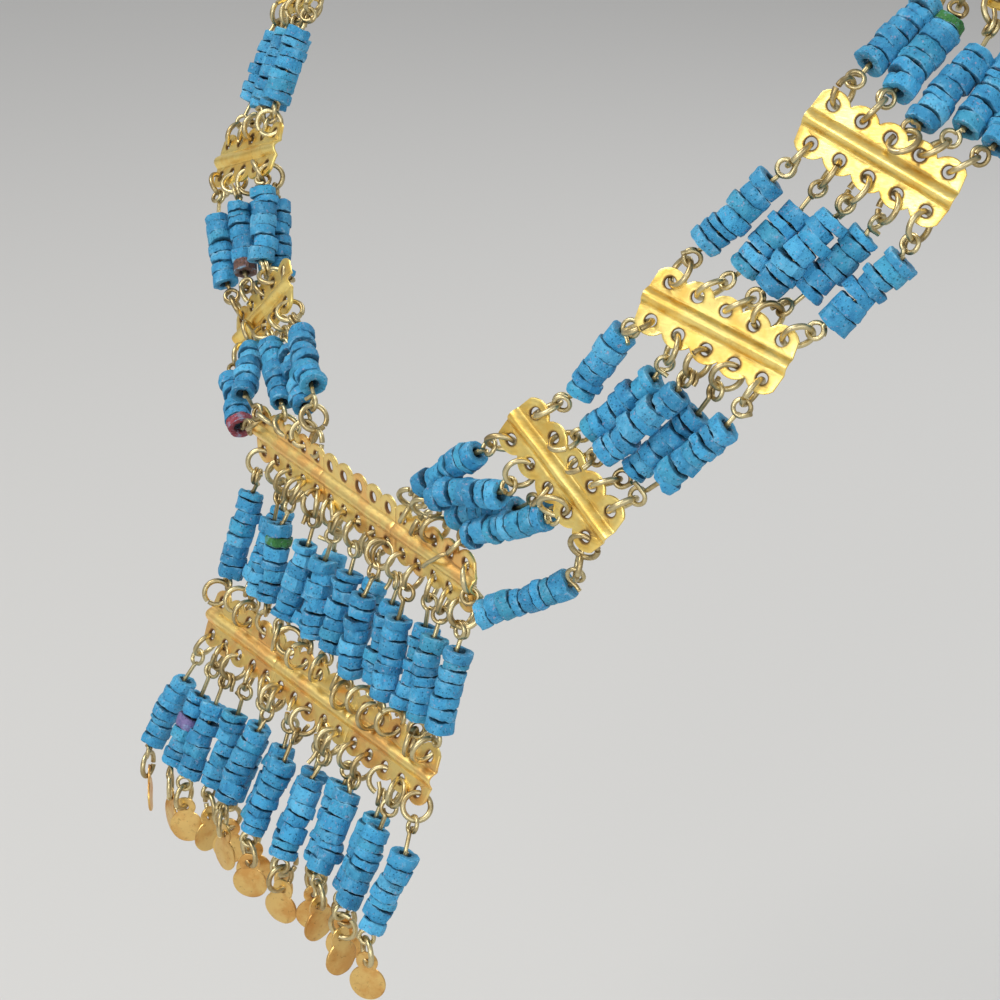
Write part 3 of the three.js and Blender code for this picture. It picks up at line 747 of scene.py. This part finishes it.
# Each strand, left to right. gap is the wire above the beads in bead thicknesses. top and foot
# are how far the beads' ends lie beside and before the line down from the hole, in pitches.
upper_tier = (
    dict(beads=8, gap=4, top=(-0.1, 0), foot=(0, 0)),
    dict(beads=7, gap=4.5, top=(0, -0.8), foot=(0, -0.3)),
    dict(beads=7, gap=4.8, top=(-0.2, 0), foot=(0, 0)),
    dict(beads=7, gap=4.3, top=(-0.24, 0.3), foot=(0, 0.15)),
    dict(beads=7, gap=4.8, top=(0.3, 0), foot=(0, 0)),
    dict(beads=7, gap=4.6, top=(0, -0.7), foot=(0, -0.3)),
    dict(beads=7, gap=4.7, top=(-0.3, 0.12), foot=(0, 0.05)),
    dict(beads=7, gap=4.7, top=(0, -0.15), foot=(0, -0.1)),
    dict(beads=7, gap=4.4, top=(0, -0.7), foot=(0, -0.3)),
    dict(beads=7, gap=4.8, top=(0, 0.5), foot=(0, 0.3)),
    dict(beads=7, gap=4.5, top=(-0.16, -0.12), foot=(0, -0.08)),
    dict(beads=7, gap=4.8, top=(-0.1, 0.24), foot=(0, 0.16)),
    dict(beads=7, gap=4.6, top=(-0.3, -0.36), foot=(0, -0.16)),
    dict(beads=7, gap=4.5, top=(-0.24, 0), foot=(0.04, 0.04)),
    dict(beads=7, gap=4.1, top=(0.2, 0.06), foot=(0.24, 0.04)),
)
green = Vector(paint(56, 120, 58)[:3])
odd_upper = {3: {1: green}}

beads = Tray()
wires = Tray()
for number, row in enumerate(upper_tier):
    above, above_out = hole_of("pectoral_bar_upper", number, -1, long_bar_holes)
    below, below_out = hole_of("pectoral_bar_lower", number, 1, long_bar_holes)
    down = (below - above).normalized()
    beside = (Vector((1, 0, 0)) - Vector((1, 0, 0)).project(down)).normalized()
    top, foot = strand_ends(above, down, beside, row)
    inward = string_strand(beads, wires, top, foot, row["beads"], odd_upper.get(number))
    join_end(wires, above, above_out, top, inward, tail=dice.choice((0, 0, 1.2, 2.2)), doubled=0.5)
    join_end(wires, below, below_out, foot, -inward, tail=dice.choice((0, 0, 0, 1.4)))

# One bent pin has slipped out and lies over the right end of the upper bar.
at, along, up, out = stance_of("pectoral_bar_upper")
loose_pin = (
    (30.2, 3.3, -0.9),
    (30, 3.1, 0.6),
    (29.4, 2.7, 1.6),
    (28.2, 1.6, 2.1),
    (26.2, 0.1, 2.1),
    (24.2, -1.5, 1.7),
)
lay_wire(wires, [at + along * x + up * y + out * z for x, y, z in loose_pin], pin_wire)

upper_beads = beads.make("beads_upper_tier", paste, 30)
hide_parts(*[f"strand_upper_{number:02d}" for number in range(1, len(upper_tier) + 1)])
wires.make("wires_upper_tier", wire_brass, 50)

# Strands of the lower tier and their drops
# The same beads and pins, hanging free below the lower bar. Each foot carries a jump ring and a
# small drop stamped from thin brass: a round disc under a lobe with a hole.

# The table's turn is how many degrees the drop faces away from the front.
lower_tier = (
    dict(beads=7, gap=5, top=(-0.5, 0), foot=(-0.8, 0), turn=-30),
    dict(beads=7, gap=5.1, top=(-0.1, 0), foot=(0, 0), turn=-8),
    dict(beads=7, gap=4.9, top=(0, 0.06), foot=(0.16, 0.06), turn=50),
    dict(beads=7, gap=4.6, top=(0, -0.3), foot=(0, -0.5), turn=100),
    dict(beads=7, gap=4.5, top=(0, -0.7), foot=(0, -0.8), turn=45),
    dict(beads=7, gap=4.1, top=(0.2, 0.24), foot=(0.2, 0.3), turn=5),
    dict(beads=7, gap=4.5, top=(0, -0.5), foot=(0, -0.6), turn=60),
    dict(beads=7, gap=4.9, top=(0.06, 0.1), foot=(0, 0.1), turn=45),
    dict(beads=7, gap=4.5, top=(0, -0.6), foot=(0, -0.7), turn=110),
    dict(beads=7, gap=4.6, top=(-0.1, 0.16), foot=(0.3, 0.16), turn=30),
    dict(beads=7, gap=3.6, top=(0, -0.36), foot=(0.3, -0.44), turn=60),
    dict(beads=7, gap=3.5, top=(0, 0.12), foot=(0.4, 0.12), turn=100),
    dict(beads=7, gap=4, top=(0.3, -0.3), foot=(0.3, -0.44), turn=50),
    dict(beads=7, gap=4.3, top=(0.2, 0.1), foot=(0.2, 0.16), turn=100),
    dict(beads=7, gap=4.6, top=(0.8, 0), foot=(0.7, 0), turn=40),
)
lower_tier_lean = math.radians(28)
drop_disc = 3.25
drop_lobe = 1.95
drop_neck = 1.5
drop_hole = 0.62
drop_sheet = 0.42
drop_score = 0.9
disc_steps = 28
lobe_steps = 16
mauve = Vector(paint(122, 110, 160)[:3])
odd_lower = {1: {2: mauve}}

drop_brass = brass("drop_brass", paint(230, 194, 122), paint(216, 164, 94), paint(134, 96, 50), 0.45, 0.4)


def stamp_drop(hang, facing, hanging):
    """Stamps one drop, a little domed and bent, and hangs it by its hole."""
    disc_height = math.sqrt(drop_disc ** 2 - drop_neck ** 2)
    lobe_height = math.sqrt(drop_lobe ** 2 - drop_neck ** 2)
    disc_turn = math.asin(disc_height / drop_disc)
    lobe_turn = math.asin(lobe_height / drop_lobe)
    drop_length = disc_height + lobe_height
    outline = []
    for step in range(disc_steps + 1):
        angle = math.pi - disc_turn + (math.pi + 2 * disc_turn) * step / disc_steps
        outline.append((drop_disc * math.cos(angle), drop_disc * math.sin(angle) - drop_length))
    for step in range(1, lobe_steps):
        angle = -lobe_turn + (math.pi + 2 * lobe_turn) * step / lobe_steps
        outline.append((drop_lobe * math.cos(angle), drop_lobe * math.sin(angle)))
    metal = cut_sheet(outline, [circle(0, 0, drop_hole, 12)], drop_sheet, 0.09)
    score(metal, Vector((0, 1, 0)), [-drop_score * step for step in range(-1, 9)])
    score(metal, Vector((1, 0, 0)), [drop_score * step for step in range(-3, 4)])
    side = facing.cross(hanging).normalized()
    bend = dice.uniform(-0.03, 0.03)
    dome = dice.uniform(0.0, 0.035)
    dull = 0.4 * noise.noise(hang * 0.37)
    points = []
    shades = []
    for corner in metal.verts:
        x, y, z = corner.co
        from_disc = math.hypot(x, y + drop_length)
        lift = z + bend * y * y * 0.3 - dome * min(from_disc, drop_disc) ** 2
        lift += 0.12 * noise.noise((x * 0.5 + hang.x, y * 0.5, hang.z))
        points.append(hang + side * x - hanging * y + facing * lift)
        # Painted shade round the hole, where the ring hangs; a darker disc edge and dull patches at
        # random.
        near_hole = max(0.0, 1 - (math.hypot(x, y) - drop_hole) / 0.6)
        shades.append(max(0.7 * near_hole, dull, 0.35 if abs(from_disc - drop_disc) < 0.3 else 0))
    faces = [tuple(corner.index for corner in face.verts) for face in metal.faces]
    metal.free()
    return points, faces, shades


beads = Tray()
wires = Tray()
drops = Tray()
drop_shades = []
tier_down = Vector((0, -math.sin(lower_tier_lean), -math.cos(lower_tier_lean)))
tier_beside = Vector((1, 0, 0))
plumb = Vector((0, 0, -1))
for number, row in enumerate(lower_tier):
    above, above_out = hole_of("pectoral_bar_lower", number, -1, long_bar_holes)
    top, foot = strand_ends(above, tier_down, tier_beside, row)
    inward = string_strand(beads, wires, top, foot, row["beads"], odd_lower.get(number))
    join_end(wires, above, above_out, top, inward, tail=dice.choice((0, 0, 1.2, 2.2)), doubled=0.35)
    facing = Quaternion((0, 0, 1), math.radians(row["turn"])) @ Vector((0, -1, 0))
    flat_side = facing.cross(plumb)
    eye_centre = foot + (inward * 0.5 + plumb * 0.5).normalized() * eye_seat
    link = eye_centre + plumb * link_seat
    ring_foot = link + plumb * 2 * ring_radius * 0.99
    slant = math.radians(dice.choice((-1, 1)) * dice.uniform(15, 70))
    lay_ring(wires, ring_foot, link, facing * math.cos(slant) + flat_side * math.sin(slant))
    lay_eye(wires, foot - inward * 0.8, eye_centre, facing, dice.choice((1.0, 1.2, 1.3)), 0)
    hang = ring_foot + plumb * 0.12
    hanging = (plumb + flat_side * dice.uniform(-0.12, 0.12)).normalized()
    points, faces, shades = stamp_drop(hang, facing, hanging)
    drops.lay(points, faces, [(1, 1, 1, 1)] * len(points))
    drop_shades.extend(shades)

lower_beads = beads.make("beads_lower_tier", paste, 30)
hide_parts(*[f"strand_lower_{number:02d}" for number in range(1, len(lower_tier) + 1)])
wires.make("wires_lower_tier", wire_brass, 50)
stamped = drops.make("drops", drop_brass, 38)
# The drops' dark mask, with the painted shade round their holes.
stamped.data.attributes.new("grime_and_shade", "FLOAT", "POINT").data.foreach_set("value", drop_shades)

# Strands of the straps
# Five short strands lead from each bar up to the next one nearer the neck. They have slipped
# against each other, so some hang loose and others lie bunched, one on the other.

# Each section's strands, from the inner hole to the outer. start is where the beads begin, as a
# share of the way between the bars. low and high are how far the beads' ends lie beside and
# before the middle of that way, in pitches. body is the strand's bunch within its section.
strap_sections = {
    "right_1": (
        dict(body="inner", beads=7, start=0.1, low=(-1.8, 0.1), high=(-2.02, 0)),
        dict(body="inner", beads=7, start=0.25, low=(-1.42, 0.6), high=(-0.5, 0.48)),
        dict(body="middle", beads=7, start=0.16, low=(-0.5, -0.4), high=(0.22, -0.48)),
        dict(body="middle", beads=8, start=0.35, low=(0.3, 0.36), high=(0.82, 0.1)),
        dict(body="outer", beads=8, start=0.23, low=(2.84, 0.7), high=(3.08, -0.6)),
    ),
    "right_2": (
        dict(body="inner", beads=6, start=0.26, low=(-1.56, 0), high=(-2.08, 0)),
        dict(body="middle", beads=7, start=0.16, low=(-0.4, -0.16), high=(-0.36, -0.16)),
        dict(body="middle", beads=8, start=0.19, low=(0.48, 0.32), high=(0.48, 0.32)),
        dict(body="middle", beads=7, start=0.23, low=(1.48, -0.2), high=(1.32, -0.28)),
        dict(body="middle", beads=7, start=0.36, low=(2.28, 0.24), high=(2.24, 0.24)),
    ),
    "right_3": (
        dict(body="inner", beads=7, start=0.13, low=(-1.92, 0), high=(-1.92, 0)),
        dict(body="middle", beads=6, start=0.2, low=(-0.58, -0.12), high=(-0.7, -0.12)),
        dict(body="middle", beads=7, start=0.24, low=(0.44, 0.22), high=(0.22, 0.22)),
        dict(body="middle", beads=6, start=0.36, low=(1.24, -0.28), high=(1.18, -0.28)),
        dict(body="outer", beads=7, start=0.35, low=(2.44, 0), high=(2.46, 0)),
    ),
    "right_4": (
        dict(body="inner", beads=7, start=0.28, low=(-1.9, 0.1), high=(-1.6, -0.1)),
        dict(body="inner", beads=7, start=0.23, low=(-0.78, 0.1), high=(-0.72, 0.1)),
        dict(body="middle", beads=7, start=0.14, low=(0.44, 0.1), high=(0.6, 0.1)),
        dict(body="middle", beads=7, start=0.25, low=(1.6, 0), high=(1.52, -0.12)),
        dict(body="middle", beads=7, start=0.25, low=(2.62, -0.1), high=(2.48, -0.1)),
    ),
    "left_1": (
        dict(body="inner", beads=6, start=0.43, low=(-2.3, 0.6), high=(-2.3, 0.6)),
        dict(body="middle", beads=6, start=0.47, low=(-0.9, 1), high=(-0.75, 0.4)),
        dict(body="outer", beads=7, start=0.26, low=(0.2, 0.2), high=(0.35, 0.1)),
        dict(body="outer", beads=7, start=0.08, low=(1.15, -0.2), high=(1.05, -0.3)),
        dict(body="outer", beads=7, start=0.1, low=(2.05, -0.1), high=(1.95, -0.2)),
    ),
    "left_2": (
        dict(beads=7, start=0.3, low=(-2.06, 0.3), high=(-1.7, 0.5)),
        dict(beads=7, start=0.3, low=(-1.14, 0), high=(-0.7, 0)),
        dict(beads=7, start=0.3, low=(-0.64, -0.8), high=(-0.3, -0.75)),
        dict(beads=7, start=0.2, low=(0.5, 0.1), high=(1.5, 0.1)),
        dict(beads=7, start=0.16, low=(0.1, -0.8), high=(1, -0.7)),
    ),
}
evenly_hung = (
    ("left_3", 0.1, (0.25, 0.22, 0.26, 0.23, 0.26)),
    ("left_4", -0.1, (0.24, 0.26, 0.23, 0.27, 0.24)),
)
for section, stagger, starts in evenly_hung:
    strap_sections[section] = []
    for index, start in enumerate(starts):
        aside = ((index - 2) * 0.96, stagger * (-1) ** index)
        strap_sections[section].append(dict(beads=7, start=start, low=aside, high=aside))

two_ring_reach = 11
rose = Vector(paint(150, 64, 74)[:3])
umber = Vector(paint(110, 78, 66)[:3])
odd_strap = {
    ("right_4", 1): {6: green},
    ("left_1", 0): {0: rose},
    ("left_2", 1): {0: umber},
}

for section, rows in strap_sections.items():
    side, number = section.split("_")
    number = int(number)
    foot_bar = "pectoral_bar_upper" if number == 1 else f"strap_bar_{side}_{number - 1}"
    head_bar = f"end_plate_{side}" if number == 4 else f"strap_bar_{side}_{number}"
    foot_holes = long_bar_holes if number == 1 else bar_holes
    first = long_bar_holes - bar_holes if (number == 1 and side == "right") else 0
    middle_low, low_out = hole_of(foot_bar, first + bar_holes // 2, 1, foot_holes)
    middle_high, high_out = hole_of(head_bar, bar_holes // 2, -1, bar_holes)
    length = (middle_high - middle_low).length
    along = (middle_high - middle_low).normalized()
    head_along = stance_of(head_bar)[1]
    beside = (head_along - head_along.project(along)).normalized()
    before = beside.cross(along)
    swell = 1.09 if number > 2 else 1.0
    beads = Tray()
    wires = Tray()
    for index, row in enumerate(rows):
        stack = row["beads"] * bead_thickness
        low_off = hole_pitch * (beside * row["low"][0] + before * row["low"][1])
        high_off = hole_pitch * (beside * row["high"][0] + before * row["high"][1])
        rise = math.sqrt(stack ** 2 - (high_off - low_off).length ** 2)
        start = middle_low + along * row["start"] * length + low_off
        end = middle_low + along * (row["start"] * length + rise) + high_off
        odd = odd_strap.get((section, index))
        inward = string_strand(beads, wires, start, end, row["beads"], odd, swell)
        low_hole = hole_of(foot_bar, first + index, 1, foot_holes)[0]
        high_hole = hole_of(head_bar, index, -1, bar_holes)[0]
        low_rings = 2 if (low_hole - start).length > two_ring_reach else 1
        high_rings = 2 if (high_hole - end).length > two_ring_reach else 1
        join_end(wires, low_hole, low_out, start, inward, low_rings, dice.choice((0, 0, 1.2, 2)))
        join_end(wires, high_hole, high_out, end, -inward, high_rings, dice.choice((0, 0, 1.2, 2)))
    strung = beads.make(f"beads_strap_{section}", paste, 30)
    bunches = sorted({"_" + row["body"] if "body" in row else "" for row in rows})
    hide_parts(*[f"strap_strands_{section}{bunch}" for bunch in bunches])
    wires.make(f"wires_strap_{section}", wire_brass, 50)

# Chain and hook behind the neck
# A plain cable chain of oval links runs from each end plate round the back of the neck to a
# hook bent from one piece of brass wire. None of it shows in the photograph.
link_half_length = 2.1
link_half_width = 1.15
link_wire = 0.36
link_steps = 20
link_squareness = 2.6
hook_eye = 1.9
hook_wire = 0.6
hook_reach = 9
hook_bend = 1.7
hook_tip = 4

# The right chain ends in the hook's bend, the left one in its eye.
chain_routes = {
    "right": ((68, -34, -14), (58, -19, -6), (43, -8, -1.5), (25, -2, 0), (5.72, 0, hook_bend)),
    "left": ((-75, -40, -18.5), (-63, -22, -7.5), (-45, -8.5, -1.5), (-25, -2, 0), (-5.92, 0, 0)),
}


def smooth_way(marks, steps):
    """A smooth line through a few marks, as points close together."""
    way = []
    for index in range(len(marks) - 1):
        before = marks[max(index - 1, 0)]
        here = marks[index]
        after = marks[index + 1]
        beyond = marks[min(index + 2, len(marks) - 1)]
        for step in range(steps):
            t = step / steps
            way.append(
                0.5
                * (
                    2 * here
                    + (after - before) * t
                    + (2 * before - 5 * here + 4 * after - beyond) * t ** 2
                    + (3 * here - before - 3 * after + beyond) * t ** 3
                )
            )
    way.append(marks[-1])
    return way


for side in ("right", "left"):
    at, along, up, out = stance_of(f"end_plate_{side}")
    first = at + up * (gather_hole + 0.3)
    way = smooth_way([first, *[Vector(mark) for mark in chain_routes[side]]], 60)
    runs = [0.0]
    for index in range(1, len(way)):
        runs.append(runs[-1] + (way[index] - way[index - 1]).length)
    count = round(runs[-1] / (2 * link_half_length - 2 * link_wire - 0.1))
    pitch = runs[-1] / count
    stations = []
    upright = out
    index = 0
    for link in range(count):
        while index < len(runs) - 2 and runs[index + 1] < (link + 0.5) * pitch:
            index += 1
        heading = (way[index + 1] - way[index]).normalized()
        upright = (upright - upright.project(heading)).normalized()
        stations.append((way[index], heading, upright))
    final_flat = Vector((0, 1, 0))
    twist = math.atan2(heading.dot(upright.cross(final_flat)), upright.dot(final_flat))
    twist -= math.pi / 2 * ((count - 1) % 2)
    chain = Tray()
    for link, (middle, heading, upright) in enumerate(stations):
        turn = twist * link / (count - 1) + math.pi / 2 * (link % 2)
        if 0 < link < count - 1:
            turn += dice.uniform(-0.25, 0.25)
        flat = Quaternion(heading, turn) @ upright
        path = []
        for step in range(link_steps):
            run = math.cos(2 * math.pi * step / link_steps)
            width = math.sin(2 * math.pi * step / link_steps)
            swell = (abs(run) ** link_squareness + abs(width) ** link_squareness) ** (-1 / link_squareness)
            oval = heading * run * link_half_length * 1.02 + flat * width * link_half_width
            path.append(middle + swell * oval)
        lay_wire(chain, path, link_wire, closed=True)
    links = chain.make(f"chain_links_{side}", wire_brass, 50)
    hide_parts(f"back_chain_{side}")

hook = Tray()
hook_marks = []
for step in range(23):
    angle = math.radians(40 + 300 * step / 22)
    hook_marks.append((hook_eye * math.cos(angle) - hook_reach / 2, 0.15, hook_eye * math.sin(angle)))
hook_marks.append((-hook_reach / 2 + hook_eye + 0.2, 0.1, -0.2))
for step in range(6):
    hook_marks.append((-hook_reach / 2 + hook_eye + 0.9 + 1.1 * step, 0, 0))
for step in range(13):
    angle = math.radians(-90 + 15 * step)
    hook_marks.append((hook_reach / 2 + hook_bend * math.cos(angle), 0, hook_bend * (1 + math.sin(angle))))
hook_marks.append((hook_reach / 2 - hook_tip * 0.6, 0, 2 * hook_bend - 0.1))
hook_marks.append((hook_reach / 2 - hook_tip, 0, 2 * hook_bend + 0.5))
lay_wire(hook, [Vector(mark) for mark in hook_marks], hook_wire)
bent_hook = hook.make("bent_hook", wire_brass, 50)
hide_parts("hook_clasp")

# Floor and light
# A plain pale floor below the necklace, and soft studio light: one softbox high in front, a weak
# one lower down that lights the bars' faces, one at the side, and one behind for the edges.
floor_half = 6
floor_height = -0.32
floor_corners = [
    (x * floor_half, y * floor_half, floor_height) for x, y in ((-1, -1), (1, -1), (1, 1), (-1, 1))
]
floor_mesh = bpy.data.meshes.new("floor")
floor_mesh.from_pydata(floor_corners, [], [(0, 1, 2, 3)])
floor_material = bpy.data.materials.new("pale_floor")
floor_material.use_nodes = True
floor_shader = floor_material.node_tree.nodes["Principled BSDF"]
floor_shader.inputs["Base Color"].default_value = (0.62, 0.62, 0.61, 1)
floor_shader.inputs["Roughness"].default_value = 0.9
floor_mesh.materials.append(floor_material)
bring_in("floor", floor_mesh)

necklace_middle = Vector((0, -0.09, -0.09))


def hang_softbox(name, at, size, power, colour):
    """A square softbox that faces the middle of the necklace."""
    light = bpy.data.lights.new(name, "AREA")
    light.size = size
    light.energy = power
    light.color = colour
    softbox = bring_in(name, light)
    softbox.location = at
    softbox.rotation_euler = (necklace_middle - Vector(at)).to_track_quat("-Z", "Y").to_euler()


hang_softbox("high_front", (-0.3, -0.7, 0.8), 0.45, 7, (1, 0.97, 0.92))
hang_softbox("near_front", (0.44, -0.77, 0.12), 0.32, 2.1, (1, 0.98, 0.95))
hang_softbox("side", (0.95, -0.25, 0.25), 0.7, 2.6, (0.94, 0.97, 1))
hang_softbox("behind", (-0.3, 0.7, 0.5), 0.4, 3, (1, 1, 1))

world = bpy.data.worlds.new("studio")
world.use_nodes = True
background = world.node_tree.nodes["Background"]
background.inputs["Color"].default_value = (0.87, 0.87, 0.88, 1)
background.inputs["Strength"].default_value = 0.52
bpy.context.scene.world = world
bpy.context.scene.view_settings.view_transform = "Standard"
